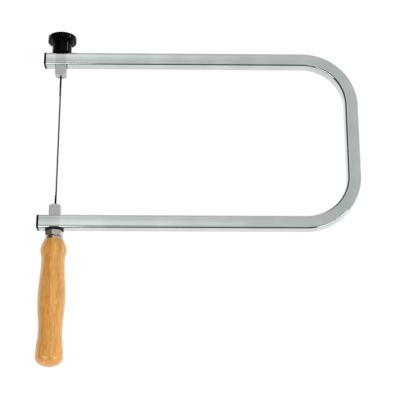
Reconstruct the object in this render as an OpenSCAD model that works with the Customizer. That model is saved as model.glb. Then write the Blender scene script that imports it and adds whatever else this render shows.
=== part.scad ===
// Fret saw: a bent square-tube bow, two split square clamps, a mushroom knob
// that draws the upper clamp and a turned beech handle that draws the lower one.
// It lies flat: X runs from the blade to the back of the bow, Y from the
// handle to the knob, Z is square to the bow. Sizes are in millimetres.

/* [Bow] */
// Outer side of the square steel tube
tube_side = 12; // [11.5:0.1:14]
// Wall of the tube
tube_wall = 1; // [0.8:0.1:1.2]
// Outer corner radius of the tube
tube_corner = 2.3; // [1.6:0.1:3]
// Clear depth from the blade's centre to the back of the bow
throat_depth = 250; // [120:1:400]
// Outer radius of the two bends
bend_radius = 48.5; // [30:0.5:60]
// Thickness of an end cap outside the tube
cap_head = 2.1; // [1:0.1:4]
// Length of an end cap's stem inside the tube
cap_stem = 6; // [3:0.1:12]
// Wall of the end cap's hollow stem
cap_wall = 1.4; // [1:0.1:2]
// Rounding of the end cap's outer edges
cap_round = 0.9; // [0.3:0.1:1]

/* [Blade] */
// Full length of the blade
blade_length = 130; // [110:1:160]
// Width of the blade from its back to the tips of its teeth
blade_width = 1.7; // [1:0.1:3]
// Thickness of the blade
blade_thick = 0.35; // [0.2:0.05:0.45]
// Length of blade that each clamp grips
blade_grip = 5.6; // [3:0.1:8]
// Distance between two teeth
tooth_pitch = 2; // [1:0.1:4]
// Depth of the teeth
tooth_depth = 0.55; // [0.2:0.05:0.7]
// Plain length at the blade's upper end
plain_upper = 23; // [15:1:30]
// Plain length at the blade's lower end
plain_lower = 14; // [12:1:30]

/* [Clamps] */
// How far a clamp stands out of its arm at rest
jaw_reach = 10.1; // [8:0.1:14]
// How far a clamp goes on inside its arm, past the tube's wall
jaw_root = 8.8; // [8:0.1:9.2]
// Width of the slit that grips the blade
jaw_slit = 0.55; // [0.5:0.05:1]
// Diameter of the flat end face that the turned bevel leaves
jaw_face_d = 7.4; // [5:0.1:9]
// Slope of the bevel, from the end face
jaw_bevel = 30; // [15:1:50]
// Travel of a clamp when its screw is undone
jaw_travel = 3; // [1:0.1:3.2]
// Diameter of the upper clamp's threaded stud
upper_stud_d = 6; // [4:0.1:6.5]
// Diameter of the lower clamp's threaded stud
lower_stud_d = 8; // [5:0.1:8.2]
// Length of each stud that is screwed into its clamp
stud_hold = 5; // [3:0.1:5.4]

/* [Knob] */
// Diameter of the knob's rim
knob_d = 25.2; // [24.2:0.1:40]
// Thickness of the knob's rim
knob_rim = 6.2; // [4:0.1:10]
// Diameter of the knob's hub
hub_d = 17.2; // [13:0.1:20]
// Length of the knob's hub
hub_length = 11.4; // [8:0.1:16]
// Rise of the knob's slightly domed top
knob_dome = 0.8; // [0.3:0.1:1.5]
// Radius of the rim's rounded edges
rim_round = 0.9; // [0.3:0.1:1.5]
// Radius of the hollow between the hub and the rim
hub_fillet = 1.1; // [0.4:0.1:2]
// Outer diameter of the brass bush in the knob
bush_d = 9.4; // [8.6:0.1:11]
// Length of the brass bush
bush_length = 11; // [8:0.1:12]

/* [Handle] */
// Length of the wooden handle below the ferrule
handle_length = 107.5; // [100:0.5:140]
// Diameter of the wood at the ferrule
top_d = 16.4; // [15:0.1:18]
// Diameter of the shoulder near the ferrule
shoulder_d = 22.1; // [18:0.1:24]
// Diameter of the neck below the shoulder
neck_d = 19.7; // [17:0.1:21]
// Diameter of the swell that fills the palm
swell_d = 23.3; // [21:0.1:24]
// Diameter of the waist behind the palm
waist_d = 20.1; // [17:0.1:21]
// Diameter of the flared end
flare_d = 23.3; // [20:0.1:24]
// Length of the handle's rounded end
dome_length = 8.1; // [4:0.1:12]
// Outer diameter of the steel ferrule
ferrule_d = 15.6; // [14.4:0.1:17]
// Height of the ferrule between the nut and the wood's shoulder
ferrule_height = 2.2; // [1.6:0.1:5]
// Sheet thickness of the ferrule
ferrule_sheet = 0.8; // [0.4:0.1:1]
// Hexagon nut, across its flats
nut_flats = 13.5; // [13:0.1:17]
// Height of the hexagon
nut_height = 5.8; // [4:0.1:8]
// Angle at which the hexagon stands on its thread
nut_turn = -9; // [-30:1:30]
// Diameter of the nut's spigot inside the wood
spigot_d = 10.6; // [10:0.1:11.5]
// Length of the nut's spigot from the hexagon
spigot_length = 26; // [18:0.5:40]
// Diameter of the black thrust washer
washer_d = 16.1; // [15:0.1:20]
// Thickness of the thrust washer
washer_thick = 1.4; // [1:0.1:3]

/* [Hidden] */
$fn = 64;

// Clearances and overruns
jaw_play = 0.2;
opening_play = 0.4;
stud_play = 0.4;
fit = 0.05;
stem_gap = 1.9;
slit_spare = 1.6;
cut = 1;

// The tube and the square clamps that slide in it
bore_side = tube_side - 2 * tube_wall;
bore_corner = tube_corner - tube_wall;
jaw_side = bore_side - 2 * jaw_play;
opening_side = jaw_side + 2 * opening_play;
jaw_length = jaw_reach + tube_wall + jaw_root;
slit_depth = blade_grip + 2 * jaw_travel + slit_spare;

// The bow's centre line, from the blade's axis and halfway between the arms
arm_gap = blade_length - 2 * blade_grip + 2 * jaw_reach;
arm_y = (arm_gap + tube_side) / 2;
arm_overhang = opening_side / 2 + stem_gap + cap_stem;
bend_mid = bend_radius - tube_side / 2;
leg_x = throat_depth + tube_side / 2;
bend_x = leg_x - bend_mid;
bend_y = arm_y - bend_mid;

// The bevel of a clamp: its length where it reaches the bar's corners
jaw_corner_r = jaw_side / sqrt(2);
bevel_length = (jaw_corner_r - jaw_face_d / 2) * tan(jaw_bevel);

// Heights above an arm's throat side, along the clamp's axis
root_end = tube_wall + jaw_root;
stud_start = root_end - stud_hold;
stud_bevel_share = 0.1;
nut_start = tube_side + washer_thick;
ferrule_start = nut_start + nut_height;
wood_start = ferrule_start + ferrule_height;

// The knob's hollow and the stud that works in it
stud_spare = 0.8;
upper_stud_end = tube_side + bush_length - stud_spare;
knob_hole = bush_length + stud_spare + fit;
foot_round = 0.7;
dome_r = (pow(knob_d / 2, 2) + pow(knob_dome, 2)) / (2 * knob_dome);

// The handle's nut, the stud in it and the hole in the wood
lower_stud_end = nut_start + spigot_length;
nut_bevel = 0.45;
nut_foot_bevel = 1.9;
spigot_bevel = 0.6;
spigot_end = ferrule_start + spigot_length;
grip_hole = spigot_end - wood_start + stud_spare;
tenon_r = ferrule_d / 2 - ferrule_sheet - fit;
washer_bevel = 0.3;
washer_play = 0.3;

// Crests and hollows of the handle along its length: [distance, radius]
shoulder_share = 0.085;
neck_share = 0.158;
swell_share = 0.474;
waist_share = 0.721;
handle_stations = [
    [handle_length * shoulder_share, shoulder_d / 2],
    [handle_length * neck_share, neck_d / 2],
    [handle_length * swell_share, swell_d / 2],
    [handle_length * waist_share, waist_d / 2],
    [handle_length - dome_length, flare_d / 2]
];
curve_steps = 12;

// Middle and height of the whole saw, so that it lies on Z = 0
saw_left = -arm_overhang - cap_head;
saw_right = throat_depth + tube_side;
saw_top = arm_gap / 2 + tube_side + hub_length + knob_rim;
saw_bottom = -arm_gap / 2 - wood_start - handle_length;
at_rest = [-(saw_left + saw_right) / 2, -(saw_top + saw_bottom) / 2, knob_d / 2];

// Places a piece drawn about the blade's axis into the saw's own frame
module saw() {
    translate(at_rest) children();
}

// Places a piece drawn along +Z, outward from an arm's throat side
module on_upper_arm() {
    saw() translate([0, arm_gap / 2, 0]) rotate([-90, 0, 0]) children();
}

module on_lower_arm() {
    saw() translate([0, -arm_gap / 2, 0]) rotate([90, 0, 0]) children();
}

// Square with round corners, centred
module rounded_square(side, corner) {
    inset = side / 2 - corner;
    square([side, 2 * inset], center = true);
    square([2 * inset, side], center = true);
    for (x = [-inset, inset], y = [-inset, inset]) {
        translate([x, y]) circle(r = corner);
    }
}

// Square bar or tube bent round the bow's centre line
module bow_run(side, corner, overrun) {
    for (end = [-1, 1]) {
        translate([-arm_overhang - overrun, end * arm_y, 0])
            rotate([0, 90, 0])
            linear_extrude(arm_overhang + overrun + bend_x)
            rounded_square(side, corner);
        translate([bend_x, end * bend_y, 0])
            rotate([0, 0, end > 0 ? 0 : -90])
            rotate_extrude(angle = 90)
            translate([bend_mid, 0])
            rounded_square(side, corner);
    }
    translate([leg_x, -bend_y, 0])
        rotate([-90, 0, 0])
        linear_extrude(2 * bend_y)
        rounded_square(side, corner);
}

// Openings of one arm: square for the clamp, round for its stud
module clamp_openings(stud_d) {
    translate([-opening_side / 2, -opening_side / 2, -cut])
        cube([opening_side, opening_side, tube_corner + cut]);
    translate([0, 0, tube_side - tube_wall - cut])
        cylinder(d = stud_d + 2 * stud_play, h = tube_wall + 2 * cut);
}

module bow_frame() {
    color("silver") difference() {
        saw() bow_run(tube_side, tube_corner, 0);
        saw() bow_run(bore_side, bore_corner, cut);
        on_upper_arm() clamp_openings(upper_stud_d);
        on_lower_arm() clamp_openings(lower_stud_d);
    }
}

// Plastic plug: a head with rounded edges and a hollow stem
module end_cap(end) {
    stem_side = bore_side - 2 * fit;
    hollow = stem_side - 2 * cap_wall;
    saw() translate([-arm_overhang, end * arm_y, 0]) {
        intersection() {
            translate([-cap_head, 0, 0])
                rotate([0, 90, 0])
                linear_extrude(cap_head)
                rounded_square(tube_side, tube_corner);
            cap_outline();
            rotate([90, 0, 0]) cap_outline();
        }
        difference() {
            rotate([0, 90, 0])
                linear_extrude(cap_stem)
                rounded_square(stem_side, bore_corner);
            translate([0, -hollow / 2, -hollow / 2])
                cube([cap_stem + cut, hollow, hollow]);
        }
    }
}

// The cap's head seen from its side, with its two outer corners rounded
module cap_outline() {
    linear_extrude(2 * tube_side, center = true) {
        translate([-cap_head + cap_round, -tube_side / 2])
            square([cap_head - cap_round, tube_side]);
        translate([-cap_head, -tube_side / 2 + cap_round])
            square([cap_round, tube_side - 2 * cap_round]);
        for (y = [-1, 1]) {
            translate([-cap_head + cap_round, y * (tube_side / 2 - cap_round)])
                circle(r = cap_round);
        }
    }
}

module upper_end_cap() {
    color("black") end_cap(1);
}

module lower_end_cap() {
    color("black") end_cap(-1);
}

// Square bar with a turned bevel at its free end, a slit that lies in the
// plane of the bow, and a threaded hole for its stud at the other end
module clamp_bar(stud_d) {
    tip = -jaw_reach;
    difference() {
        intersection() {
            translate([-jaw_side / 2, -jaw_side / 2, tip])
                cube([jaw_side, jaw_side, jaw_length]);
            translate([0, 0, tip]) rotate_extrude() polygon([
                [0, 0],
                [jaw_face_d / 2, 0],
                [jaw_corner_r, bevel_length],
                [jaw_corner_r, jaw_length],
                [0, jaw_length]
            ]);
        }
        translate([-jaw_side / 2 - cut, -jaw_slit / 2, tip - cut])
            cube([jaw_side + 2 * cut, jaw_slit, slit_depth + cut]);
        translate([0, 0, stud_start])
            cylinder(d = stud_d + 2 * fit, h = stud_hold + cut);
    }
}

// Threaded rod, with its ends bevelled
module stud(stud_d, end) {
    bevel = stud_d * stud_bevel_share;
    translate([0, 0, stud_start]) rotate_extrude() polygon([
        [0, 0],
        [stud_d / 2 - bevel, 0],
        [stud_d / 2, bevel],
        [stud_d / 2, end - stud_start - bevel],
        [stud_d / 2 - bevel, end - stud_start],
        [0, end - stud_start]
    ]);
}

module upper_clamp() {
    color("lightgray") on_upper_arm() clamp_bar(upper_stud_d);
}

module upper_stud() {
    color("gray") on_upper_arm() stud(upper_stud_d, upper_stud_end);
}

module lower_clamp() {
    color("lightgray") on_lower_arm() clamp_bar(lower_stud_d);
}

module lower_stud() {
    color("gray") on_lower_arm() stud(lower_stud_d, lower_stud_end);
}

// Blade: a thin strip whose toothed edge faces away from the bow's back, with
// teeth that point down at the handle
module saw_blade() {
    edge = -blade_width / 2;
    root = edge + tooth_depth;
    slope_share = 0.8;
    count = floor((blade_length - plain_lower - plain_upper) / tooth_pitch);
    first = plain_lower;
    last = first + count * tooth_pitch;
    color("dimgray") saw()
        translate([0, -arm_gap / 2 + jaw_reach - blade_grip, -blade_thick / 2])
        linear_extrude(blade_thick)
        polygon(concat(
            [[blade_width / 2, blade_length], [blade_width / 2, 0], [edge, 0], [edge, first]],
            [for (i = [0 : count - 1], step = [0, 1, slope_share])
                let (y = first + i * tooth_pitch)
                step == 0 ? [root, y] :
                step == 1 ? [edge, y + tooth_pitch * (1 - slope_share)] :
                [root, y + tooth_pitch]],
            [[edge, last], [edge, blade_length]]
        ));
}

// Mushroom knob, drawn upward from the arm's outer face
module tension_knob() {
    color("black") on_upper_arm() translate([0, 0, tube_side])
        rotate_extrude() difference() {
            knob_outline();
            square([bush_d / 2 + fit, bush_length]);
            square([upper_stud_d / 2 + stud_play, knob_hole]);
        }
}

module knob_outline() {
    top = hub_length + knob_rim;
    square([hub_d / 2 - foot_round, top - knob_dome]);
    translate([0, foot_round]) square([hub_d / 2, hub_length]);
    translate([hub_d / 2 - foot_round, foot_round]) circle(r = foot_round);
    difference() {
        translate([0, hub_length - hub_fillet])
            square([hub_d / 2 + hub_fillet, 2 * hub_fillet]);
        translate([hub_d / 2 + hub_fillet, hub_length - hub_fillet])
            circle(r = hub_fillet);
    }
    intersection() {
        translate([0, top - dome_r]) circle(r = dome_r, $fn = 256);
        translate([0, hub_length]) rim_section(knob_d / 2, knob_rim);
    }
}

// Half section of the rim, with its two outer edges rounded
module rim_section(radius, height) {
    square([radius - rim_round, height]);
    translate([0, rim_round]) square([radius, height - knob_dome - 2 * rim_round]);
    for (y = [rim_round, height - knob_dome - rim_round]) {
        translate([radius - rim_round, y]) circle(r = rim_round);
    }
}

module knob_bush() {
    color("goldenrod") on_upper_arm() translate([0, 0, tube_side])
        difference() {
            cylinder(d = bush_d, h = bush_length);
            translate([0, 0, -cut])
                cylinder(d = upper_stud_d + 2 * fit, h = bush_length + 2 * cut);
        }
}

module thrust_washer() {
    inner = lower_stud_d / 2 + washer_play;
    outer = washer_d / 2;
    color("black") on_lower_arm() translate([0, 0, tube_side])
        rotate_extrude() polygon([
            [inner, 0],
            [outer, 0],
            [outer, washer_thick - washer_bevel],
            [outer - washer_bevel, washer_thick],
            [inner, washer_thick]
        ]);
}

// Hexagon nut with turned bevels and a long threaded spigot for the wood
module handle_nut() {
    corner_r = nut_flats / 2 / cos(30);
    flat_r = nut_flats / 2;
    color("lightgray") on_lower_arm() translate([0, 0, nut_start]) difference() {
        union() {
            intersection() {
                rotate([0, 0, nut_turn]) cylinder(r = corner_r, h = nut_height, $fn = 6);
                rotate_extrude() polygon([
                    [0, 0],
                    [flat_r, 0],
                    [corner_r, nut_bevel],
                    [corner_r, nut_height - nut_foot_bevel],
                    [flat_r - nut_foot_bevel / 2, nut_height],
                    [0, nut_height]
                ]);
            }
            cylinder(d = spigot_d, h = nut_height + spigot_length - spigot_bevel);
            translate([0, 0, nut_height + spigot_length - spigot_bevel])
                cylinder(d1 = spigot_d, d2 = spigot_d - 2 * spigot_bevel, h = spigot_bevel);
        }
        translate([0, 0, -cut])
            cylinder(d = lower_stud_d + 2 * fit, h = nut_height + spigot_length + 2 * cut);
    }
}

// Pressed steel cup over the top of the wood
module handle_ferrule() {
    inner = spigot_d / 2 + fit;
    outer = ferrule_d / 2;
    color("lightgray") on_lower_arm() translate([0, 0, ferrule_start])
        rotate_extrude() polygon([
            [inner, 0],
            [outer - ferrule_sheet / 2, 0],
            [outer, ferrule_sheet / 2],
            [outer, ferrule_height],
            [outer - ferrule_sheet, ferrule_height],
            [outer - ferrule_sheet, ferrule_sheet],
            [inner, ferrule_sheet]
        ]);
}

// Half a cosine wave from one crest or hollow of the handle to the next
function wave(a, b, t) = [
    a[0] + (b[0] - a[0]) * t,
    a[1] + (b[1] - a[1]) * (1 - cos(180 * t)) / 2
];

// Turned handle: a quick rise to the shoulder, waves along the grip and a
// rounded end, over a tenon that fills the ferrule
module handle_grip() {
    top_r = top_d / 2;
    first = handle_stations[0];
    last = handle_stations[len(handle_stations) - 1];
    tenon = ferrule_height - ferrule_sheet;
    rise = [for (i = [0 : curve_steps - 1]) let (t = i / curve_steps)
        [first[0] * t, top_r + (first[1] - top_r) * sin(90 * t)]];
    waves = [for (s = [0 : len(handle_stations) - 2], i = [0 : curve_steps - 1])
        wave(handle_stations[s], handle_stations[s + 1], i / curve_steps)];
    dome = [for (i = [0 : curve_steps]) let (a = 90 * i / curve_steps)
        [last[0] + dome_length * sin(a), last[1] * cos(a)]];
    color("burlywood") on_lower_arm() translate([0, 0, wood_start]) difference() {
        rotate_extrude() polygon(concat(
            [[0, -tenon], [tenon_r, -tenon], [tenon_r, 0]],
            [for (p = concat(rise, waves, dome)) [p[1], p[0]]]
        ));
        translate([0, 0, -tenon - cut])
            cylinder(d = spigot_d + 2 * fit, h = tenon + cut + grip_hole);
    }
}

bow_frame();
upper_end_cap();
lower_end_cap();
tension_knob();
knob_bush();
upper_clamp();
upper_stud();
thrust_washer();
handle_nut();
handle_ferrule();
handle_grip();
lower_clamp();
lower_stud();
saw_blade();
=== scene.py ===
import math

import bmesh
import bpy
import numpy as np
from mathutils import Matrix, Vector


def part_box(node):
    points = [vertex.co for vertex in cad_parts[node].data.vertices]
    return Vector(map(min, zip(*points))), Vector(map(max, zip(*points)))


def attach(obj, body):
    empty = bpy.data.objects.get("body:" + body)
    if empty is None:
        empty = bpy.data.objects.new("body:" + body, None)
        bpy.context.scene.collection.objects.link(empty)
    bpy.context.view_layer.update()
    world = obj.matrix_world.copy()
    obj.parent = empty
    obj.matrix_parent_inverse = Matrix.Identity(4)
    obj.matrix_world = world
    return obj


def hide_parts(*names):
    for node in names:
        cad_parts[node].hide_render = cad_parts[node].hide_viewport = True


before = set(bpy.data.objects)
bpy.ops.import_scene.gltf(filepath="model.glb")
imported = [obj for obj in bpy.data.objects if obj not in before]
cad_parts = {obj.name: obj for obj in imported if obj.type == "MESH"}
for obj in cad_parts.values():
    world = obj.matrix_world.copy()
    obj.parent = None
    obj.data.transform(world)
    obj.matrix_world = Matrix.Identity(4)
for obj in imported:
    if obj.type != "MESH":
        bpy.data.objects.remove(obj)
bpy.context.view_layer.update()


# The bow is one 12 mm square steel tube, bent cold round a former at its two corners and plated
# with satin nickel. Each arm has a square opening for its clamp in the throat side, and a round
# hole opposite it for the clamp's stud.
MM = 0.001
tube_side = 12 * MM
tube_wall = 1 * MM
tube_corner = 2.3 * MM
bend_radius = 48.5 * MM
opening_side = 10.4 * MM
upper_stud_hole = 6.8 * MM
lower_stud_hole = 8.8 * MM
bend_sink = 0.3 * MM
bend_swell = 0.12 * MM
face_hollow = 0.06 * MM
nickel_tint = "#CED5D2"
nickel_streak = "#BFC8C5"
# Painted shade on the tube: the near-black tone it is darkened toward, and where the darkening starts and
# stops beside each clamp.
painted_shade_tone = "#20221F"
shade_start = 3.9 * MM
shade_stop = 5.5 * MM
tube_low, tube_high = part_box("bow_frame")
stud_low, stud_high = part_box("upper_stud")
blade_x = (stud_low.x + stud_high.x) / 2
blade_z = (stud_low.z + stud_high.z) / 2
bow_mid = (tube_low.y + tube_high.y) / 2


def hex_linear(code):
    """An sRGB hex colour as linear RGBA: the value over 12.92 near black, the 2.4 power curve above."""
    srgb = np.array([int(code[i:i + 2], 16) for i in (1, 3, 5)]) / 255
    linear = np.where(srgb <= 0.04045, srgb / 12.92, ((srgb + 0.055) / 1.055) ** 2.4)
    return (*linear.tolist(), 1.0)


def empty_material(name):
    """A node material with nothing in it yet, and its tree."""
    material = bpy.data.materials.new(name)
    material.use_nodes = True
    material.node_tree.nodes.clear()
    return material, material.node_tree


def add(tree, kind, inputs=(), **settings):
    """Adds one shader node with its settings. An input is another node's socket or a plain value."""
    node = tree.nodes.new("ShaderNode" + kind)
    for name, value in settings.items():
        setattr(node, name, value)
    for name, value in dict(inputs).items():
        if isinstance(value, bpy.types.NodeSocket):
            tree.links.new(value, node.inputs[name])
        else:
            node.inputs[name].default_value = value
    return node


def rounded_square(side, corner, steps=8):
    """Points round a square with round corners. A corner is a quarter circle about a point that lies
    inset from the middle both ways; the points of the side after it stand 0.85 of inset apart."""
    inset = side / 2 - corner
    turn = np.linspace(0, math.pi / 2, steps + 1)
    arc = np.column_stack([inset + corner * np.cos(turn), inset + corner * np.sin(turn)])
    across = np.linspace(0.85, -0.85, 7)[:, None] * inset
    quarter = np.vstack([arc, np.hstack([across, np.full_like(across, side / 2)])])
    turned = [np.linalg.matrix_power(np.array([[0, 1], [-1, 0]]), k) for k in range(4)]
    return np.vstack([quarter @ turn for turn in turned])


def grid_piece(name, points, along=False, uv=None):
    """An object from a grid of points. Each row closes on itself, and with along the last row joins
    the first. Points that fall together, as at a pole, become one, and faces turn outwards."""
    rows, columns = points.shape[:2]
    index = np.arange(rows * columns).reshape(rows, columns)
    index = np.hstack([index, index[:, :1]])
    if along:
        index = np.vstack([index, index[:1]])
    corners = [index[:-1, :-1], index[:-1, 1:], index[1:, 1:], index[1:, :-1]]
    mesh = bpy.data.meshes.new(name)
    mesh.from_pydata(points.reshape(-1, 3).tolist(), [], np.stack(corners, -1).reshape(-1, 4).tolist())
    if uv is not None:
        at_corners = np.stack([uv[:-1, :-1], uv[:-1, 1:], uv[1:, 1:], uv[1:, :-1]], -2)
        mesh.uv_layers.new(name="Surface").data.foreach_set("uv", at_corners.reshape(-1))
    merged = bmesh.new()
    merged.from_mesh(mesh)
    bmesh.ops.remove_doubles(merged, verts=merged.verts, dist=1e-7)
    bmesh.ops.recalc_face_normals(merged, faces=merged.faces)
    merged.to_mesh(mesh)
    merged.free()
    mesh.shade_smooth()
    mesh.set_sharp_from_angle(angle=math.radians(32))
    piece = bpy.data.objects.new(name, mesh)
    bpy.context.scene.collection.objects.link(piece)
    return piece


def block(low, high):
    """A box between two corners, used only to cut another piece."""
    corners = np.array([low, high])
    ring = np.array([[0, 0], [1, 0], [1, 1], [0, 1]])
    ends = [np.column_stack([corners[ring[:, 0], 0], corners[ring[:, 1], 1], np.full(4, corners[k, 2])])
            for k in (0, 1)]
    middles = [np.repeat(end.mean(0)[None], 4, axis=0) for end in ends]
    return grid_piece("cutter", np.stack([middles[0], ends[0], ends[1], middles[1]]))


def cut_away(piece, cutters):
    """Takes the cutters' volumes from a piece and keeps the result as the piece's own mesh."""
    for cutter in cutters:
        change = piece.modifiers.new("cut", "BOOLEAN")
        change.operation, change.solver, change.object = "DIFFERENCE", "EXACT", cutter
    bpy.context.view_layer.update()
    ready = piece.evaluated_get(bpy.context.evaluated_depsgraph_get())
    mesh = bpy.data.meshes.new_from_object(ready)
    piece.modifiers.clear()
    piece.data = mesh
    mesh.name = piece.name
    mesh.shade_smooth()
    mesh.set_sharp_from_angle(angle=math.radians(32))
    for cutter in cutters:
        bpy.data.objects.remove(cutter)


def put(piece, material, body, slot, *replaced):
    """Gives a piece its material, lets it ride on a body, and hides the nodes it stands for. Its slot is
    not used.
    """
    piece.data.materials.clear()
    piece.data.materials.append(material)
    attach(piece, body)
    if replaced:
        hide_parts(*replaced)


def bow_surface():
    """The bow's skin, out along the outer square and back along the inner one. A row's middle runs
    along the lower arm, round a quarter circle, up the leg, round the next and back along the upper
    arm. A section's point lies its first number outward from that line, its second above the bow's
    plane. Drawing leaves each face hollow by the square of the way to its middle. Within a bend the
    outer wall sinks and the sides swell by the sine of the way round."""
    bend_mid = bend_radius - tube_side / 2
    bend_x = tube_high.x - bend_radius
    bend_y = (tube_high.y - tube_low.y) / 2 - bend_radius
    arm, share = np.linspace(tube_low.x, bend_x, 25), np.linspace(0, 1, 49)[1:]
    leg = np.linspace(-bend_y, bend_y, 9)[1:]
    turn = np.concatenate([np.full(25, -math.pi / 2), (share - 1) * math.pi / 2, np.zeros(8),
                           share * math.pi / 2, np.full(24, math.pi / 2)])
    x = np.concatenate([arm, np.full(104, bend_x), arm[-2::-1]]) + bend_mid * np.cos(turn)
    y = np.concatenate([np.full(73, -bend_y), leg, np.full(72, bend_y)]) + bend_mid * np.sin(turn)
    bent = np.concatenate([np.zeros(25), np.sin(math.pi * share), np.zeros(8),
                           np.sin(math.pi * share), np.zeros(24)])[:, None]
    distance = np.concatenate([[0], np.cumsum(np.hypot(np.diff(x), np.diff(y)))])
    skins, sheets = [], []
    for side, corner in ((tube_side, tube_corner), (tube_side - 2 * tube_wall, tube_corner - tube_wall)):
        out, up = rounded_square(side, corner).T[:, None]
        sink = bent * np.clip(out / side * 2, 0, 1) * (1 - (up / side * 2) ** 2)
        swell = bent * np.sign(up) * np.abs(up / side * 2) ** 4 * (0.5 - out / side)
        flat = side / 2 - corner
        reach = out - bend_sink * sink
        hollow = [np.clip(1 - (c / flat) ** 2, 0, 1) * np.sign(np.where(np.abs(d) > side / 2.001, d, 0))
                  for c, d in ((up, out), (out, up))]
        reach = reach - face_hollow * hollow[0]
        skins.append(np.stack([x[:, None] + reach * np.cos(turn)[:, None],
                               bow_mid + y[:, None] + reach * np.sin(turn)[:, None],
                               blade_z + up + bend_swell * swell - face_hollow * hollow[1]], -1))
        loop = rounded_square(side, corner)
        round_it = np.hypot(*np.diff(np.vstack([loop, loop[:1]]), axis=0).T)
        across = np.concatenate([[0], np.cumsum(round_it)])
        sheets.append(np.stack(np.broadcast_arrays(distance[:, None], across[None]), -1))
    uv = np.concatenate([sheets[0], sheets[1][::-1], sheets[0][:1]])
    return np.concatenate([skins[0], skins[1][::-1]]), uv


# Satin nickel: a bright, faintly green grey with soft reflections. The tube was brushed lengthwise
# before it was plated; the lines are drawn 0.5 mm wide so that they show, and the real ones are finer.
# Its wall is painted darker over each clamp, and on the lower arm as far as the arm's end: this is painted
# shade.
satin_nickel, tree = empty_material("satin_nickel_plate")
surface = add(tree, "TexCoord")
brushed = add(tree, "Mapping", {"Vector": surface.outputs["UV"],
                                "Scale": (1 / (45 * MM), 1 / (0.5 * MM), 1)})
lines = add(tree, "TexNoise", {"Vector": brushed.outputs[0], "Scale": 1.0, "Detail": 4.0, "Roughness": 0.6})
haze = add(tree, "TexNoise", {"Vector": surface.outputs["Object"], "Scale": 1 / (22 * MM), "Detail": 2.0})
mixed = add(tree, "Math", {0: lines.outputs["Fac"], 1: haze.outputs["Fac"]}, operation="ADD")
tone = add(tree, "MapRange", {"Value": mixed.outputs[0], "From Min": 0.75, "From Max": 1.25})
colour = add(tree, "Mix", {"Factor": tone.outputs[0], 6: hex_linear(nickel_streak),
                           7: hex_linear(nickel_tint)}, data_type="RGBA")
# Painted shade: the colour darkens toward a near-black tone over each clamp, and on the lower arm from the
# clamp out to the arm's end.
place = add(tree, "SeparateXYZ", {"Vector": surface.outputs["Object"]})
offset = add(tree, "Math", {0: place.outputs["X"], 1: blade_x}, operation="SUBTRACT")
aside = add(tree, "Math", {0: offset.outputs[0]}, operation="ABSOLUTE")
shade_over_clamp = add(tree, "MapRange", {"Value": aside.outputs[0], "From Min": shade_start, "From Max": shade_stop,
                                    "To Min": 0.24, "To Max": 0.0}, interpolation_type="SMOOTHSTEP")
shade_to_arm_end = add(tree, "MapRange", {"Value": offset.outputs[0], "From Min": shade_start, "From Max": shade_stop,
                                "To Min": 0.15, "To Max": 0.0}, interpolation_type="SMOOTHSTEP")
upper_arm = add(tree, "Math", {0: place.outputs["Y"], 1: bow_mid}, operation="GREATER_THAN")
painted_shade = add(tree, "Mix", {0: upper_arm.outputs[0], 2: shade_to_arm_end.outputs[0],
                           3: shade_over_clamp.outputs[0]}, data_type="FLOAT")
colour = add(tree, "Mix", {"Factor": painted_shade.outputs[0], 6: colour.outputs[2],
                           7: hex_linear(painted_shade_tone)}, data_type="RGBA")
gloss = add(tree, "MapRange", {"Value": mixed.outputs[0], "From Min": 0.75, "From Max": 1.25,
                               "To Min": 0.1, "To Max": 0.08})
relief = add(tree, "Bump", {"Height": lines.outputs["Fac"], "Strength": 0.14, "Distance": 0.01 * MM})
steel = add(tree, "BsdfPrincipled", {"Base Color": colour.outputs[2], "Metallic": 1.0,
                                     "Roughness": gloss.outputs[0], "Normal": relief.outputs[0]})
add(tree, "OutputMaterial", {"Surface": steel.outputs[0]})

tube_points, tube_uv = bow_surface()
bow = grid_piece("bow_tube", tube_points, along=True, uv=tube_uv)
half = opening_side / 2
upper_throat = tube_high.y - tube_side
lower_throat = tube_low.y + tube_side


def ring_cutter(centre_y, radius, length):
    """A plain cylinder about the blade's axis, used only to cut a hole."""
    turn = np.linspace(0, 2 * math.pi, 64, endpoint=False)
    radii = np.array([0, radius, radius, 0])[:, None]
    reach = centre_y + length * np.array([-0.5, -0.5, 0.5, 0.5])[:, None]
    return grid_piece("cutter", np.stack(np.broadcast_arrays(
        blade_x + radii * np.cos(turn), reach, blade_z + radii * np.sin(turn)), -1))


cut_away(bow, [
    block((blade_x - half, upper_throat - MM, blade_z - half),
          (blade_x + half, upper_throat + tube_corner, blade_z + half)),
    block((blade_x - half, lower_throat - tube_corner, blade_z - half),
          (blade_x + half, lower_throat + MM, blade_z + half)),
    ring_cutter(tube_high.y - tube_wall / 2, upper_stud_hole / 2, 3 * tube_wall),
    ring_cutter(tube_low.y + tube_wall / 2, lower_stud_hole / 2, 3 * tube_wall)])
put(bow, satin_nickel, "bow", "bow_steel", "bow_frame")


# The two end caps are injection moulded from black polyethylene and pressed into the arms. Each has
# a hardly crowned head as wide as the tube, 2.1 mm thick with rounded edges, and a short hollow stem.
cap_head = 2.1 * MM
cap_stem = 6 * MM
cap_round = 0.9 * MM
cap_crown = 0.12 * MM
stem_side = 9.9 * MM
stem_hollow = 7.1 * MM


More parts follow.
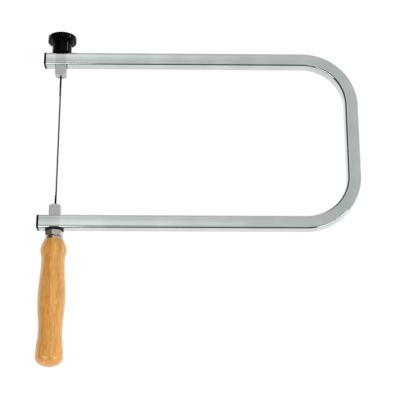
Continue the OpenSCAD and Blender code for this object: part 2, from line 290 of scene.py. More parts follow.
def cap_surface(arm_y):
    """A loft of rounded squares about the arm's own line: from the middle of the head outwards over
    its crown, round its edge by a quarter circle, back to the tube, down the stem and into it."""
    turn = np.linspace(0, math.pi / 2, 7)
    inset = cap_round * (1 - np.sin(turn))
    rise = cap_head - cap_crown - cap_round * (1 - np.cos(turn))
    flat = tube_side - 2 * cap_round
    rings = [(0, 0, cap_head), (0.4 * flat, 0.2 * tube_corner, cap_head - 0.12 * cap_crown),
             (0.8 * flat, 0.4 * tube_corner, cap_head - 0.6 * cap_crown)]
    rings += [(tube_side - 2 * i, tube_corner - i, r) for i, r in zip(inset, rise)]
    rings += [(tube_side, tube_corner, 0.1 * cap_head), (tube_side, tube_corner, 0.001 * MM),
              (tube_side - 0.1 * MM, tube_corner, 0), (stem_side, 1.3 * MM, 0),
              (stem_side, 1.3 * MM, -0.9 * cap_stem), (stem_side - 0.6 * MM, 1.1 * MM, -cap_stem),
              (stem_hollow, 0.5 * MM, -cap_stem), (stem_hollow, 0.5 * MM, -0.2 * MM), (0, 0, -0.2 * MM)]
    loops = np.stack([rounded_square(side, corner) for side, corner, _ in rings])
    reach = np.broadcast_to(np.array([r for _, _, r in rings])[:, None], loops.shape[:2])
    return np.stack([tube_low.x - reach, arm_y + loops[..., 0], blade_z + loops[..., 1]], -1)


# Moulded polyethylene: satin black with a fine even grain that breaks up its reflections.
cap_black, tree = empty_material("moulded_black_polyethylene")
surface = add(tree, "TexCoord")
grain = add(tree, "TexNoise", {"Vector": surface.outputs["Object"], "Scale": 1 / (0.35 * MM),
                               "Detail": 3.0})
tone = add(tree, "Mix", {"Factor": grain.outputs["Fac"], 6: hex_linear("#060606"),
                         7: hex_linear("#101010")}, data_type="RGBA")
gloss = add(tree, "MapRange", {"Value": grain.outputs["Fac"], "To Min": 0.3, "To Max": 0.44})
relief = add(tree, "Bump", {"Height": grain.outputs["Fac"], "Strength": 0.2, "Distance": 0.02 * MM})
plastic = add(tree, "BsdfPrincipled", {"Base Color": tone.outputs[2], "Roughness": gloss.outputs[0],
                                       "Specular IOR Level": 0.05, "Normal": relief.outputs[0]})
add(tree, "OutputMaterial", {"Surface": plastic.outputs[0]})

for end, arm_y in (("upper", tube_high.y - tube_side / 2), ("lower", tube_low.y + tube_side / 2)):
    cap = grid_piece(end + "_cap", cap_surface(arm_y))
    put(cap, cap_black, "bow", "cap_plastic", end + "_end_cap")


# The tension knob is a mushroom of black phenolic, moulded about a brass bush and polished. Its rim
# is 25.2 mm across, its hub 17.2 mm, and it stands on the upper arm with a rounded foot.
knob_radius = 12.6 * MM
hub_radius = 8.6 * MM
hub_length = 11.4 * MM
knob_top = 17.6 * MM
knob_dome = 0.8 * MM
bush_hole = 4.75 * MM
bush_depth = 11 * MM
stud_hole = 3.4 * MM
stud_depth = 11.85 * MM


def eased(corners, size, steps=5):
    """An outline with its corners eased. Round each corner the line leaves one leg at the easing's
    size and joins the other as far away, along the square blend of the two, with a guard point
    beyond either end. No easing takes more than a third of a leg."""
    corners = np.asarray(corners, float)
    legs = [np.roll(corners, shift, axis=0) - corners for shift in (1, -1)]
    lengths = [np.maximum(np.linalg.norm(leg, axis=1), 1e-12)[:, None] for leg in legs]
    reach = np.broadcast_to(np.asarray(size, float), len(corners))[:, None]
    before, after = [leg / n * np.minimum(reach, n / 3) for leg, n in zip(legs, lengths)]
    share = np.linspace(0, 1, steps + 1)[:, None, None]
    curve = corners + (1 - share) ** 2 * before + share ** 2 * after
    guarded = np.concatenate([(corners + 1.35 * before)[None], curve, (corners + 1.35 * after)[None]])
    return guarded.transpose(1, 0, 2).reshape(-1, 2)


def turned(outline, base_y, outward, columns=96):
    """A closed outline of radius and height, carried round the blade's axis. Height counts from
    base_y, outward from the throat: up the saw for the upper arm, down for the lower one."""
    turn = np.linspace(0, 2 * math.pi, columns, endpoint=False)
    radius, height = outline.T[:, :, None]
    return np.stack(np.broadcast_arrays(blade_x + radius * np.cos(turn), base_y + outward * height,
                                        blade_z + radius * np.sin(turn)), -1)


# Polished phenolic: near black with a deep gloss, and a faint ripple left by the buffing wheel.
phenolic, tree = empty_material("polished_black_phenolic")
surface = add(tree, "TexCoord")
ripple = add(tree, "TexNoise", {"Vector": surface.outputs["Object"], "Scale": 1 / (2.5 * MM),
                                "Detail": 3.0})
tone = add(tree, "Mix", {"Factor": ripple.outputs["Fac"], 6: hex_linear("#020202"),
                         7: hex_linear("#060606")}, data_type="RGBA")
gloss = add(tree, "MapRange", {"Value": ripple.outputs["Fac"], "To Min": 0.06, "To Max": 0.12})
relief = add(tree, "Bump", {"Height": ripple.outputs["Fac"], "Strength": 0.15, "Distance": 0.03 * MM})
plastic = add(tree, "BsdfPrincipled", {"Base Color": tone.outputs[2], "Roughness": gloss.outputs[0],
                                       "Specular IOR Level": 0.06, "Normal": relief.outputs[0]})
add(tree, "OutputMaterial", {"Surface": plastic.outputs[0]})

crown = np.linspace(0.8, 0.2, 4) * knob_radius
crown_height = knob_top - knob_dome * (crown / knob_radius) ** 2
knob_corners = [(0, stud_depth), (stud_hole, stud_depth), (stud_hole, bush_depth), (bush_hole, bush_depth),
                (bush_hole, 0), (hub_radius, 0), (hub_radius, hub_length), (knob_radius, hub_length),
                (knob_radius, knob_top - knob_dome), *zip(crown, crown_height), (0, knob_top)]
knob_easing = np.array([0, 0.05, 0.05, 0.05, 0.1, 0.8, 1.2, 0.95, 0.95, 1.0, 1.0, 1.0, 1.0, 0]) * MM
knob = grid_piece("mushroom_knob", turned(eased(knob_corners, knob_easing), tube_high.y, 1), along=True)
put(knob, phenolic, "knob", "knob_plastic", "tension_knob")


# The brass bush is turned from bar and moulded into the knob. It runs on the upper clamp's M6 stud.
bush_radius = 4.7 * MM
bush_bore = 3.05 * MM

# Turned brass: a warm yellow metal with fine rings from the lathe tool, drawn 0.3 mm apart.
brass, tree = empty_material("turned_brass")
surface = add(tree, "TexCoord")
rings = add(tree, "TexNoise", {"Vector": add(tree, "Mapping", {
    "Vector": surface.outputs["Object"], "Scale": (1, 1 / (0.3 * MM), 1)}).outputs[0], "Scale": 1.0})
tone = add(tree, "Mix", {"Factor": rings.outputs["Fac"], 6: hex_linear("#C79A45"),
                         7: hex_linear("#E0BE74")}, data_type="RGBA")
gloss = add(tree, "MapRange", {"Value": rings.outputs["Fac"], "To Min": 0.2, "To Max": 0.34})
metal = add(tree, "BsdfPrincipled", {"Base Color": tone.outputs[2], "Metallic": 1.0,
                                     "Roughness": gloss.outputs[0]})
add(tree, "OutputMaterial", {"Surface": metal.outputs[0]})

bush_corners = [(bush_bore, 0), (bush_radius, 0), (bush_radius, bush_depth), (bush_bore, bush_depth)]
bush = grid_piece("brass_bush", turned(eased(bush_corners, 0.25 * MM), tube_high.y, 1), along=True)
put(bush, brass, "knob", "brass", "knob_bush")


# The two studs are zinc plated threaded rod, screwed into the clamps: M6 with a 1 mm pitch in the
# upper one, M8 with 1.25 mm in the lower. Their ends are bevelled so that the nuts start easily.
stud_start = 4.8 * MM
thread_share = 0.61
upper_thread = (3 * MM, 1 * MM, 22.2 * MM)
lower_thread = (4 * MM, 1.25 * MM, 39.4 * MM)


def threaded_rod(radius, pitch, end, base_y, outward):
    """A right-hand thread on a grid of height and turn. The radius falls from the outer one by the
    thread's depth times a triangle wave of height over pitch less the turn, flattened a little at
    crest and root, and never passes a cone of 45 degrees at either end."""
    turn = np.linspace(0, 2 * math.pi, 40, endpoint=False)[None]
    height = np.linspace(stud_start, end, int((end - stud_start) / pitch * 8) + 1)[:, None]
    wave = np.abs((outward * height / pitch - turn / (2 * math.pi)) % 1 - 0.5) * 2
    cut = np.clip(wave * 1.3 - 0.15, 0, 1)
    cone = radius * 0.8 + np.minimum(height - stud_start, end - height)
    reach = np.minimum(radius - thread_share * pitch * cut, cone)
    reach = np.concatenate([np.zeros_like(turn), reach, np.zeros_like(turn)])
    height = np.concatenate([height[:1], height, height[-1:]])
    return np.stack(np.broadcast_arrays(blade_x + reach * np.sin(turn), base_y + outward * height,
                                        blade_z + reach * np.cos(turn)), -1)


# Zinc plate: a cool light grey, a little cloudy, with soft reflections on each thread.
zinc, tree = empty_material("zinc_plated_steel")
surface = add(tree, "TexCoord")
cloud = add(tree, "TexNoise", {"Vector": surface.outputs["Object"], "Scale": 1 / (2 * MM), "Detail": 3.0})
tone = add(tree, "Mix", {"Factor": cloud.outputs["Fac"], 6: hex_linear("#A9ADB1"),
                         7: hex_linear("#C4C7C9")}, data_type="RGBA")
gloss = add(tree, "MapRange", {"Value": cloud.outputs["Fac"], "To Min": 0.26, "To Max": 0.4})
metal = add(tree, "BsdfPrincipled", {"Base Color": tone.outputs[2], "Metallic": 1.0,
                                     "Roughness": gloss.outputs[0]})
add(tree, "OutputMaterial", {"Surface": metal.outputs[0]})

for name, (radius, pitch, end), base_y, outward in (("upper", upper_thread, upper_throat, 1),
                                                    ("lower", lower_thread, lower_throat, -1)):
    rod = grid_piece(name + "_threaded_rod", threaded_rod(radius, pitch, end, base_y, outward))
    put(rod, zinc, name + "_jaw", "stud_steel", name + "_stud")


# The two clamps are 9.6 mm square steel bars. Each was turned to a bevel at its free end, which
# leaves a round face and curved edges on the flats, then slit in the bow's plane for the blade.
jaw_side = 9.6 * MM
jaw_edge = 0.25 * MM
jaw_reach = 10.1 * MM
jaw_root = 9.8 * MM
jaw_face = 3.7 * MM
jaw_slope = math.tan(math.radians(30))
slit_width = 0.55 * MM
slit_depth = 13.2 * MM


def square_radius(turn, side, corner):
    """How far a square with round corners reaches from its middle in each direction: along a flat,
    half the side over the direction's cosine; round a corner, where the ray leaves its circle."""
    folded = np.abs((turn + math.pi / 4) % (math.pi / 2) - math.pi / 4)
    inset = side / 2 - corner
    flat = side / 2 / np.cos(folded)
    past = folded - math.pi / 4
    arc = math.sqrt(2) * inset * np.cos(past) + np.sqrt(
        np.maximum(corner ** 2 - 2 * (inset * np.sin(past)) ** 2, 0))
    return np.where(folded < math.atan2(inset, side / 2), flat, arc)


def clamp_surface(base_y, outward, bore):
    """A grid of rings round the clamp's axis. A ring starts as a circle on the end face, runs out
    along the cone of the bevel to the square's own reach, and then goes up the flats to the root,
    in over its end and down the stud's hole."""
    quarter = np.concatenate([np.linspace(-42, 42, 21), [43, 43.8, 44.4, 45, 45.6, 46.2, 47]])
    turn = np.radians(np.concatenate([quarter + 90 * k for k in range(4)]))
    square = square_radius(turn, jaw_side, jaw_edge)
    same = np.ones_like(turn)
    bevel = [(jaw_face + (square - jaw_face) * s, (square - jaw_face) * s * jaw_slope)
             for s in (0.0, 0.06, 0.5, 0.94, 1.0)]
    full = (square - jaw_face) * jaw_slope
    length = jaw_reach + jaw_root
    rings = [(0 * same, 0 * same), (0.5 * jaw_face * same, 0 * same), (0.96 * jaw_face * same, 0 * same)]
    rings += bevel
    rings += [(square, full + (length - full) * s) for s in (0.02, 0.3, 0.6, 0.985, 1.0)]
    rings += [(0.97 * square, length * same), (1.03 * bore * same, length * same),
              (bore * same, length * same), (bore * same, (length - 0.2 * MM) * same),
              (bore * same, (jaw_reach + stud_start) * same),
              (0 * same, (jaw_reach + stud_start) * same)]
    radius, height = np.array(rings).transpose(1, 0, 2)
    return np.stack([blade_x + radius * np.cos(turn), base_y + outward * (height - jaw_reach),
                     blade_z + radius * np.sin(turn)], -1)


# Nickel plated bar: a neutral grey, duller than the tube, with fine draw lines along the flats.
bar_nickel, tree = empty_material("dull_nickel_plate")
surface = add(tree, "TexCoord")
drawn = add(tree, "Mapping", {"Vector": surface.outputs["Object"],
                              "Scale": (1 / (0.4 * MM), 1 / (9 * MM), 1 / (0.4 * MM))})
lines = add(tree, "TexNoise", {"Vector": drawn.outputs[0], "Scale": 1.0, "Detail": 3.0})
tone = add(tree, "Mix", {"Factor": lines.outputs["Fac"], 6: hex_linear("#B7B8B8"),
                         7: hex_linear("#C4C4C3")}, data_type="RGBA")
gloss = add(tree, "MapRange", {"Value": lines.outputs["Fac"], "To Min": 0.2, "To Max": 0.3})
relief = add(tree, "Bump", {"Height": lines.outputs["Fac"], "Strength": 0.2, "Distance": 0.01 * MM})
metal = add(tree, "BsdfPrincipled", {"Base Color": tone.outputs[2], "Metallic": 1.0,
                                     "Roughness": gloss.outputs[0], "Normal": relief.outputs[0]})
add(tree, "OutputMaterial", {"Surface": metal.outputs[0]})

for name, base_y, outward, bore in (("upper", upper_throat, 1, 3.05 * MM),
                                    ("lower", lower_throat, -1, 4.05 * MM)):
    clamp = grid_piece(name + "_split_clamp", clamp_surface(base_y, outward, bore))
    tip, slit_end = base_y - outward * (jaw_reach + MM), base_y + outward * (slit_depth - jaw_reach)
    cut_away(clamp, [block((blade_x - jaw_side, min(tip, slit_end), blade_z - slit_width / 2),
                           (blade_x + jaw_side, max(tip, slit_end), blade_z + slit_width / 2))])
    edge = clamp.modifiers.new("edge", "BEVEL")
    edge.width, edge.segments, edge.angle_limit = 0.09 * MM, 2, math.radians(25)
    edge.harden_normals = True
    put(clamp, bar_nickel, name + "_jaw", "clamp_steel", name + "_clamp")


# The thrust washer is stamped from black fibre, 16.1 mm across and 1.4 mm thick. The handle's nut
# turns against it, so that it doesn't scratch the arm.
washer_radius = 8.05 * MM
washer_bore = 4.3 * MM
washer_thick = 1.4 * MM

# Black fibre: a dull, slightly uneven black.
fibre, tree = empty_material("black_fibre")
surface = add(tree, "TexCoord")
grain = add(tree, "TexNoise", {"Vector": surface.outputs["Object"], "Scale": 1 / (0.5 * MM), "Detail": 4.0})
tone = add(tree, "Mix", {"Factor": grain.outputs["Fac"], 6: hex_linear("#070707"),
                         7: hex_linear("#141513")}, data_type="RGBA")
gloss = add(tree, "MapRange", {"Value": grain.outputs["Fac"], "To Min": 0.42, "To Max": 0.6})
relief = add(tree, "Bump", {"Height": grain.outputs["Fac"], "Strength": 0.3, "Distance": 0.03 * MM})
sheet = add(tree, "BsdfPrincipled", {"Base Color": tone.outputs[2], "Roughness": gloss.outputs[0],
                                     "Specular IOR Level": 0.3, "Normal": relief.outputs[0]})
add(tree, "OutputMaterial", {"Surface": sheet.outputs[0]})

washer_corners = [(washer_bore, 0), (washer_radius, 0), (washer_radius, washer_thick),
                  (washer_bore, washer_thick)]
washer_points = turned(eased(washer_corners, 0.3 * MM), tube_low.y, -1)
washer = grid_piece("fibre_washer", washer_points, along=True)
put(washer, fibre, "bow", "washer_black", "thrust_washer")


# The handle's nut is a turned steel hexagon, 13.5 mm across its flats and bright nickel plated. Its
# corners are bevelled by the lathe, and its threaded spigot is driven into the wood.
nut_flat = 6.75 * MM
nut_height = 5.8 * MM
nut_bevel = 0.45 * MM
nut_foot = 1.9 * MM
nut_turn = math.radians(-9)
nut_bore = 4.05 * MM
spigot_radius = 5.3 * MM
spigot_length = 26 * MM
nut_start = tube_low.y - washer_thick


def nut_surface():
    """Rings round the handle's axis. The hexagon reaches the flat's distance over the cosine of the
    angle from its middle; at each end a cone holds it back, so that a flat ends in a curve that
    comes closest to the end at its middle."""
    fold = np.linspace(-30, 30, 17)
    bunched = 30 * np.sin(np.radians(fold * 3)) * 0.55 + fold * 0.45
    turn = np.radians(np.concatenate([bunched[:-1] + 60 * k for k in range(6)]))
    hexagon = nut_flat / np.cos((turn + math.pi / 6) % (math.pi / 3) - math.pi / 6)
    same = np.ones_like(turn)
    corner = nut_flat / math.cos(math.pi / 6)
    inner = nut_flat - nut_foot / 2
    near = (hexagon - nut_flat) * nut_bevel / (corner - nut_flat)
    far = nut_height - (hexagon - inner) * nut_foot / (corner - inner)
    end = nut_height + spigot_length
    rings = [(nut_bore, 0), (nut_bore * 1.05, 0), (nut_flat * 0.97, 0), (nut_flat, 0), (hexagon, near),
             (hexagon, near + 0.08 * MM), (hexagon, far - 0.08 * MM), (hexagon, far), (inner, nut_height),
             (inner * 0.97, nut_height), (spigot_radius * 1.02, nut_height),
             (spigot_radius, nut_height + 0.1 * MM), (spigot_radius, end - 0.6 * MM),
             (spigot_radius - 0.6 * MM, end), (nut_bore, end)]
    radius, height = np.array([(r * same, h * same) for r, h in rings]).transpose(1, 0, 2)
    turn = turn + nut_turn
    return np.stack([blade_x + radius * np.cos(turn), nut_start - height,
                     blade_z - radius * np.sin(turn)], -1)


# Bright nickel: a slightly warm mirror with faint turning marks, drawn 0.25 mm apart.
bright_nickel, tree = empty_material("bright_nickel_plate")
surface = add(tree, "TexCoord")
rings = add(tree, "TexNoise", {"Vector": add(tree, "Mapping", {
    "Vector": surface.outputs["Object"], "Scale": (60, 1 / (0.25 * MM), 60)}).outputs[0],
    "Scale": 1.0, "Detail": 2.0})
tone = add(tree, "Mix", {"Factor": rings.outputs["Fac"], 6: hex_linear("#B9B7AD"),
                         7: hex_linear("#CBC9BF")}, data_type="RGBA")
gloss = add(tree, "MapRange", {"Value": rings.outputs["Fac"], "To Min": 0.07, "To Max": 0.14})
relief = add(tree, "Bump", {"Height": rings.outputs["Fac"], "Strength": 0.15, "Distance": 0.01 * MM})
metal = add(tree, "BsdfPrincipled", {"Base Color": tone.outputs[2], "Metallic": 1.0,
                                     "Roughness": gloss.outputs[0], "Normal": relief.outputs[0]})
add(tree, "OutputMaterial", {"Surface": metal.outputs[0]})

nut = grid_piece("hexagon_nut", nut_surface(), along=True)
edge = nut.modifiers.new("edge", "BEVEL")
edge.width, edge.segments, edge.angle_limit = 0.08 * MM, 2, math.radians(20)
edge.harden_normals = True
put(nut, bright_nickel, "handle", "bright_steel", "handle_nut")


# The ferrule is a cup pressed from 0.8 mm steel sheet and nickel plated with the nut. It holds the
# top of the wood together, and its shoulder is rounded by the press.
ferrule_radius = 7.8 * MM
ferrule_height = 2.2 * MM
ferrule_sheet = 0.8 * MM
ferrule_hole = 5.35 * MM
ferrule_start = nut_start - nut_height
ferrule_corners = [(ferrule_hole, 0), (ferrule_radius, 0), (ferrule_radius, ferrule_height),
                   (ferrule_radius - ferrule_sheet, ferrule_height),
                   (ferrule_radius - ferrule_sheet, ferrule_sheet), (ferrule_hole, ferrule_sheet)]
ferrule_easing = np.array([0.1, 0.75, 0.15, 0.1, 0.1, 0.1]) * MM
ferrule_points = turned(eased(ferrule_corners, ferrule_easing), ferrule_start, -1)
ferrule = grid_piece("pressed_ferrule", ferrule_points, along=True)
put(ferrule, bright_nickel, "handle", "bright_steel", "handle_ferrule")


# The handle is beech, turned on a lathe to 23.3 mm at its widest and dipped in clear gloss varnish.
# It rises to a shoulder, dips to a neck, swells in the palm, narrows, flares and ends in a dome.
wood_start = ferrule_start - ferrule_height
wood_top = 8.2 * MM
tenon_radius = 6.95 * MM
tenon_length = 1.4 * MM
grip_hole_radius = 5.35 * MM
grip_hole_depth = 24.6 * MM
dome_length = 8.1 * MM
crests = {"shoulder": (9.14 * MM, 11.05 * MM), "neck": (16.99 * MM, 9.85 * MM),
          "swell": (50.96 * MM, 11.65 * MM), "waist": (77.5 * MM, 10.05 * MM),
          "flare": (99.4 * MM, 11.65 * MM)}


def handle_outline():
    """Radius and height along the handle: a quarter sine up to the shoulder, half a cosine wave from
    each crest or hollow to the next, and a quarter ellipse over the end. It closes inside, along
    the hole for the nut's spigot and round the tenon that fills the ferrule."""
    stops = np.array(list(crests.values()))
    share = np.linspace(0, 1, 24, endpoint=False)
    rise = np.column_stack([wood_top + (stops[0, 1] - wood_top) * np.sin(share * math.pi / 2),
                            stops[0, 0] * share])
    start, stop = stops[:-1, None], stops[1:, None]
    blend = (1 - np.cos(math.pi * share)) / 2
    waves = np.stack([start[..., 1] + (stop[..., 1] - start[..., 1]) * blend,
                      start[..., 0] + (stop[..., 0] - start[..., 0]) * share], -1).reshape(-1, 2)
    turn = np.linspace(0, math.pi / 2, 25)
    dome = np.column_stack([stops[-1, 1] * np.cos(turn), stops[-1, 0] + dome_length * np.sin(turn)])
    inside = np.array([(0, grip_hole_depth), (grip_hole_radius, grip_hole_depth),
                       (grip_hole_radius, -tenon_length), (tenon_radius, -tenon_length), (tenon_radius, 0)])
    return np.vstack([inside, rise, waves, dome])


# Beech under gloss varnish: an orange tan with straight lengthwise grain 1 to 3 mm wide, short
# darker ray flecks, and a clear coat that mirrors the lamps.
beech, tree = empty_material("varnished_beech")
surface = add(tree, "TexCoord")
log = add(tree, "Mapping", {"Vector": surface.outputs["Object"], "Location": (31 * MM, 0, 17 * MM)})
bands = add(tree, "Mapping", {"Vector": log.outputs[0],
                              "Scale": (1 / (2.2 * MM), 1 / (90 * MM), 1 / (2.2 * MM))})
growth = add(tree, "TexNoise", {"Vector": bands.outputs[0], "Scale": 1.0, "Detail": 3.0, "Roughness": 0.6})
strands = add(tree, "Mapping", {"Vector": log.outputs[0],
                                "Scale": (1 / (0.7 * MM), 1 / (14 * MM), 1 / (0.7 * MM))})
fibres = add(tree, "TexNoise", {"Vector": strands.outputs[0], "Scale": 1.0, "Detail": 4.0,
                                "Roughness": 0.65})
dashes = add(tree, "Mapping", {"Vector": log.outputs[0],
                               "Scale": (1 / (0.65 * MM), 1 / (3.8 * MM), 1 / (0.65 * MM))})
rays = add(tree, "TexNoise", {"Vector": dashes.outputs[0], "Scale": 1.0, "Detail": 1.0})
flecks = add(tree, "MapRange", {"Value": rays.outputs["Fac"], "From Min": 0.6, "From Max": 0.72,
                                "To Max": 0.45})
both = add(tree, "Math", {0: growth.outputs["Fac"], 1: 0.6, 2: fibres.outputs["Fac"]},
           operation="MULTIPLY_ADD")
shade = add(tree, "MapRange", {"Value": both.outputs[0], "From Min": 0.58, "From Max": 1.02})
ground = add(tree, "Mix", {"Factor": shade.outputs[0], 6: hex_linear("#B27226"),
                           7: hex_linear("#E0A44D")}, data_type="RGBA")
wood = add(tree, "Mix", {"Factor": flecks.outputs[0], 6: ground.outputs[2],
                         7: hex_linear("#955C20")}, data_type="RGBA")
dull = add(tree, "MapRange", {"Value": fibres.outputs["Fac"], "To Min": 0.38, "To Max": 0.52})
relief = add(tree, "Bump", {"Height": fibres.outputs["Fac"], "Strength": 0.12, "Distance": 0.02 * MM})
varnish = add(tree, "TexNoise", {"Vector": surface.outputs["Object"], "Scale": 1 / (3 * MM), "Detail": 2.0})
runs = add(tree, "Bump", {"Height": varnish.outputs["Fac"], "Strength": 0.2, "Distance": 0.05 * MM})
timber = add(tree, "BsdfPrincipled", {"Base Color": wood.outputs[2], "Roughness": dull.outputs[0],
                                      "Normal": relief.outputs[0], "Coat Weight": 1.0,
                                      "Coat Roughness": 0.07, "Coat IOR": 1.5,
                                      "Coat Normal": runs.outputs[0], "Specular IOR Level": 0.3})
add(tree, "OutputMaterial", {"Surface": timber.outputs[0]})

handle = grid_piece("beech_handle", turned(handle_outline(), wood_start, -1), along=True)
put(handle, beech, "handle", "beech", "handle_grip")


# The blade is stamped from 0.35 mm hardened spring steel, 130 mm long and 1.7 mm wide. Its ends are
# black from the hardening, and its middle is ground grey with 46 teeth that point at the handle.
blade_width = 1.7 * MM
blade_thick = 0.35 * MM
tooth_pitch = 2 * MM
tooth_depth = 0.55 * MM
tooth_count = 46
plain_lower = 14 * MM
black_lower = 17.5 * MM
black_upper = 14.5 * MM
black_fade = 3 * MM
blade_low, blade_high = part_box("saw_blade")
blade_back = blade_high.x
ground_from = blade_low.y + plain_lower
ground_to = ground_from + tooth_count * tooth_pitch


def blade_surface():
    """A flat strip as a grid: rows along it, and eight points round each row. Its left edge moves in
    by the tooth's depth along a slow hollow flank and a steep front, and every edge has a small
    bevel, across both its width and its thickness."""
    share = np.array([0.0, 0.04, 0.12, 0.2, 0.4, 0.6, 0.8, 0.96])
    reach = np.array([0.0, 0.12, 0.62, 1.0, 0.62, 0.3, 0.08, 0.0])
    first = ground_from + tooth_pitch * np.arange(tooth_count)[:, None]
    rows = np.concatenate([[blade_low.y, blade_low.y + 0.1 * MM, ground_from - 0.1 * MM],
                           (first + tooth_pitch * share).ravel(),
                           [ground_to, ground_to + 0.1 * MM, blade_high.y - 0.1 * MM, blade_high.y]])
    filled = np.concatenate([[1, 1, 1], np.tile(reach, tooth_count), [0, 1, 1, 1]])
    edge = blade_back - blade_width + tooth_depth * (1 - filled)
    bevel = 0.05 * MM
    half_thick = blade_thick / 2
    across = np.stack([edge, edge + bevel, np.full_like(edge, blade_back - bevel),
                       np.full_like(edge, blade_back), np.full_like(edge, blade_back),
                       np.full_like(edge, blade_back - bevel), edge + bevel, edge], 1)
    over = np.array([1, 0, 0, 1, 1, 0, 0, 1]) * bevel
    side = np.array([1, 1, 1, 1, -1, -1, -1, -1])
    up = blade_z + side * (half_thick - over)
    points = np.stack(np.broadcast_arrays(across, rows[:, None], up), -1)
    ends = [np.repeat(row.mean(0)[None], 8, axis=0) for row in (points[0], points[-1])]
    return np.concatenate([ends[0][None], points, ends[1][None]])


# Hardened spring steel: black oxide on the plain ends, and a ground grey middle with fine lines
# across it, where the teeth were cut.
spring_steel, tree = empty_material("hardened_spring_steel")
surface = add(tree, "TexCoord")
place = add(tree, "SeparateXYZ", {"Vector": surface.outputs["Object"]})
lower_end = add(tree, "MapRange", {"Value": place.outputs["Y"], "From Min": blade_low.y + black_lower,
                                   "From Max": blade_low.y + black_lower + black_fade},
                interpolation_type="SMOOTHSTEP")
upper_end = add(tree, "MapRange", {"Value": place.outputs["Y"], "From Min": blade_high.y - black_upper,
                                   "From Max": blade_high.y - black_upper - black_fade},
                interpolation_type="SMOOTHSTEP")
ground_share = add(tree, "Math", {0: lower_end.outputs[0], 1: upper_end.outputs[0]}, operation="MULTIPLY")
strokes = add(tree, "TexNoise", {"Vector": add(tree, "Mapping", {
    "Vector": surface.outputs["Object"], "Scale": (200, 1 / (0.4 * MM), 200)}).outputs[0],
    "Scale": 1.0, "Detail": 3.0})
grey = add(tree, "Mix", {"Factor": strokes.outputs["Fac"], 6: hex_linear("#4A4B4B"),
                         7: hex_linear("#717271")}, data_type="RGBA")
tone = add(tree, "Mix", {"Factor": ground_share.outputs[0], 6: hex_linear("#0E0E0F"),
                         7: grey.outputs[2]}, data_type="RGBA")
gloss = add(tree, "MapRange", {"Value": strokes.outputs["Fac"], "To Min": 0.36, "To Max": 0.46})
metal = add(tree, "BsdfPrincipled", {"Base Color": tone.outputs[2], "Metallic": ground_share.outputs[0],
                                     "Roughness": gloss.outputs[0], "Specular IOR Level": 0.15})
add(tree, "OutputMaterial", {"Surface": metal.outputs[0]})

blade = grid_piece("toothed_blade", blade_surface())
put(blade, spring_steel, "lower_jaw", "blade_steel", "saw_blade")


# The floor is a plain white table. The saw rests on it at the knob's rim, the handle's flare and the
# back of the bow, so the table tilts by the little that these three points ask for.
floor_reach = 3.0
rest_gap = 0.05 * MM
rim_rest = 14.2 * MM
knob_rest = (blade_x, tube_high.y + rim_rest, blade_z - knob_radius)
flare_rest = (blade_x, wood_start - crests["flare"][0], blade_z - crests["flare"][1])
back_rest = (tube_high.x - tube_corner, bow_mid, tube_low.z)


def floor_surface():
    """A flat disc in the plane through the three resting points: rings of growing radius, each at
    the height that the plane has there, a hair lower so that nothing touches."""
    points = np.array([knob_rest, flare_rest, back_rest])
    slope = np.linalg.solve(np.column_stack([points[:, :2], np.ones(3)]), points[:, 2])
    turn = np.linspace(0, 2 * math.pi, 72, endpoint=False)
    reach = np.array([0, 0.3, 1.0, floor_reach])[:, None]
    x, y = reach * np.cos(turn), reach * np.sin(turn)
    return np.stack([x, y, slope[0] * x + slope[1] * y + slope[2] - rest_gap], -1)


# White table top: matt paint, seen as plain white by the camera and in reflections, with a faint
# shadow of the saw left in it.
table_white, tree = empty_material("matt_white_table")
paint = add(tree, "BsdfDiffuse", {"Color": hex_linear("#F4F5F5")})
seen = add(tree, "Emission", {"Color": (1, 1, 1, 1), "Strength": 1.03})
path = add(tree, "LightPath")
mirrored = add(tree, "Math", {0: path.outputs["Is Camera Ray"], 1: path.outputs["Is Glossy Ray"]},
               operation="MAXIMUM")
through = add(tree, "Math", {0: mirrored.outputs[0], 1: path.outputs["Is Transmission Ray"]},
              operation="MAXIMUM")
share = add(tree, "Math", {0: through.outputs[0], 1: 0.95}, operation="MULTIPLY")
mixed = add(tree, "MixShader", {0: share.outputs[0], 1: paint.outputs[0], 2: seen.outputs[0]})
add(tree, "OutputMaterial", {"Surface": mixed.outputs[0]})

table = grid_piece("table_top", floor_surface())
table.data.materials.append(table_white)
if table.data.polygons[0].normal.z < 0:
    table.data.flip_normals()


# The room is a plain white studio that lights the saw softly from its side walls, more from the right
# one. Mirrored in the metal it is bright overhead and dark towards its front and left walls, which
# gives the tube its dark edge lines. One panel towards the back, left of the middle, is brighter than
# the rest. The camera itself sees only white.
room = bpy.data.worlds.new("studio")
room.use_nodes = True
bpy.context.scene.world = room
tree = room.node_tree
tree.nodes.clear()
toward = add(tree, "SeparateXYZ", {"Vector": add(tree, "TexCoord").outputs["Generated"]})
lean = add(tree, "MapRange", {"Value": toward.outputs["X"], "From Min": -0.15, "From Max": 0.15,
                              "To Min": 0.12, "To Max": -0.2})
slant = add(tree, "Math", {0: toward.outputs["Y"], 1: lean.outputs[0]}, operation="ADD")
front = add(tree, "MapRange", {"Value": slant.outputs[0], "From Min": -0.78, "From Max": -0.62,
                               "To Min": 0.04}, interpolation_type="SMOOTHSTEP")
side = add(tree, "ValToRGB", {"Fac": add(tree, "MapRange", {
    "Value": toward.outputs["X"], "From Min": -1.0, "From Max": 1.0}).outputs[0]})
ramp = side.color_ramp
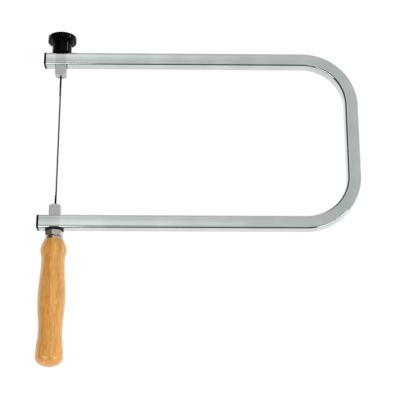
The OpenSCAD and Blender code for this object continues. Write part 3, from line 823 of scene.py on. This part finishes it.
# How bright the room is in a mirror, by its share of the way from the left wall to the right one.
levels = {0.0: 0.17, 0.08: 0.15, 0.2: 0.05, 0.38: 0.1, 0.425: 1.0, 0.6: 0.96, 1.0: 0.96}
while len(ramp.elements) < len(levels):
    ramp.elements.new(0.5)
for element, (at, level) in zip(ramp.elements, levels.items()):
    element.position, element.color = at, (level, level, level, 1)
wall = add(tree, "Math", {0: front.outputs[0], 1: side.outputs["Color"]}, operation="MULTIPLY")
rise = add(tree, "MapRange", {"Value": toward.outputs["Y"], "From Min": 0.22, "From Max": 0.34},
           interpolation_type="SMOOTHSTEP")
fall = add(tree, "MapRange", {"Value": toward.outputs["Y"], "From Min": 0.5, "From Max": 0.36},
           interpolation_type="SMOOTHSTEP")
leftward = add(tree, "MapRange", {"Value": toward.outputs["X"], "From Min": 0.12, "From Max": -0.1,
                                  "To Max": 0.54})
panel = add(tree, "Math", {0: rise.outputs[0], 1: fall.outputs[0]}, operation="MULTIPLY")
panel = add(tree, "Math", {0: panel.outputs[0], 1: leftward.outputs[0]}, operation="MULTIPLY")
overhead = add(tree, "Math", {0: panel.outputs[0], 1: 0.74}, operation="ADD")
level = add(tree, "Math", {0: wall.outputs[0], 1: overhead.outputs[0]}, operation="MULTIPLY")
left_wall = add(tree, "MapRange", {"Value": toward.outputs["X"], "From Min": -0.2, "From Max": -1.0,
                                   "To Max": 0.8})
right_wall = add(tree, "MapRange", {"Value": toward.outputs["X"], "From Min": -0.2, "To Min": 0.32,
                                    "To Max": 1.9})
soft = add(tree, "Math", {0: left_wall.outputs[0], 1: right_wall.outputs[0]}, operation="ADD")
path = add(tree, "LightPath")
lit = add(tree, "Mix", {0: path.outputs["Is Glossy Ray"], 2: soft.outputs[0], 3: level.outputs[0]},
          data_type="FLOAT")
strength = add(tree, "Mix", {0: path.outputs["Is Camera Ray"], 2: lit.outputs[0], 3: 1.0},
               data_type="FLOAT")
sky = add(tree, "Background", {"Color": (1, 1, 1, 1), "Strength": strength.outputs[0]})
add(tree, "OutputWorld", {"Surface": sky.outputs[0]})


# Two wide softboxes light the saw from the left and the right of the camera and show in the varnish.
# A small gridded lamp on the right, a little behind the saw, gives the knob its narrow glint.
def softbox(name, azimuth, elevation, distance, width, height, brightness, middle=(0, 0, 0), spread=180):
    """An area lamp that faces the saw's middle or another point. Azimuth counts from the camera's
    side, to the right; the lamp lies its distance away in that direction, and brightness is what a
    mirror shows. A grid before the lamp keeps its light within the spread, in degrees."""
    a, e = math.radians(azimuth), math.radians(elevation)
    outward = Vector((math.sin(a) * math.cos(e), -math.cos(a) * math.cos(e), math.sin(e)))
    data = bpy.data.lights.new(name, "AREA")
    data.shape, data.size, data.size_y = "RECTANGLE", width, height
    data.energy, data.spread = brightness * width * height * 4, math.radians(spread)
    lamp = bpy.data.objects.new(name, data)
    facing = outward.to_track_quat("Z", "Y").to_matrix().to_4x4()
    lamp.matrix_world = Matrix.Translation(Vector(middle) + outward * distance) @ facing
    bpy.context.scene.collection.objects.link(lamp)


softbox("left_softbox", -42, 38, 0.75, 0.54, 0.2, 3.0)
softbox("right_softbox", 48, 20, 1.0, 0.75, 0.22, 3.0)
knob_middle = (blade_x, tube_high.y + hub_length / 2, blade_z)
softbox("glint", 117, 17, 0.6, 0.025, 0.06, 0.35, knob_middle, 20)


# The camera stands 0.96 m from the saw's middle with a 101 mm lens, almost over it and tipped a
# little towards the handle, as in the photograph.
camera_azimuth = math.radians(-2.49)
camera_elevation = math.radians(71.56)
camera_roll = math.radians(2.64)
camera_distance = 0.9586
camera_target = Vector((-0.0001, -0.00482, 0.0126))
camera_data = bpy.data.cameras.new("camera")
camera_data.lens = 100.84
camera_data.sensor_width = 36
camera_data.clip_start = 0.05
camera = bpy.data.objects.new("camera", camera_data)
level_right = Vector((math.cos(camera_azimuth), math.sin(camera_azimuth), 0))
forward = Vector((-math.sin(camera_azimuth) * math.cos(camera_elevation),
                  math.cos(camera_azimuth) * math.cos(camera_elevation), -math.sin(camera_elevation)))
right = math.cos(camera_roll) * level_right + math.sin(camera_roll) * level_right.cross(forward)
up = right.cross(forward)
turned_to = Matrix((right, up, -forward)).transposed().to_4x4()
camera.matrix_world = Matrix.Translation(camera_target - camera_distance * forward) @ turned_to
bpy.context.scene.collection.objects.link(camera)
bpy.context.scene.camera = camera
bpy.context.scene.view_settings.view_transform = "Standard"
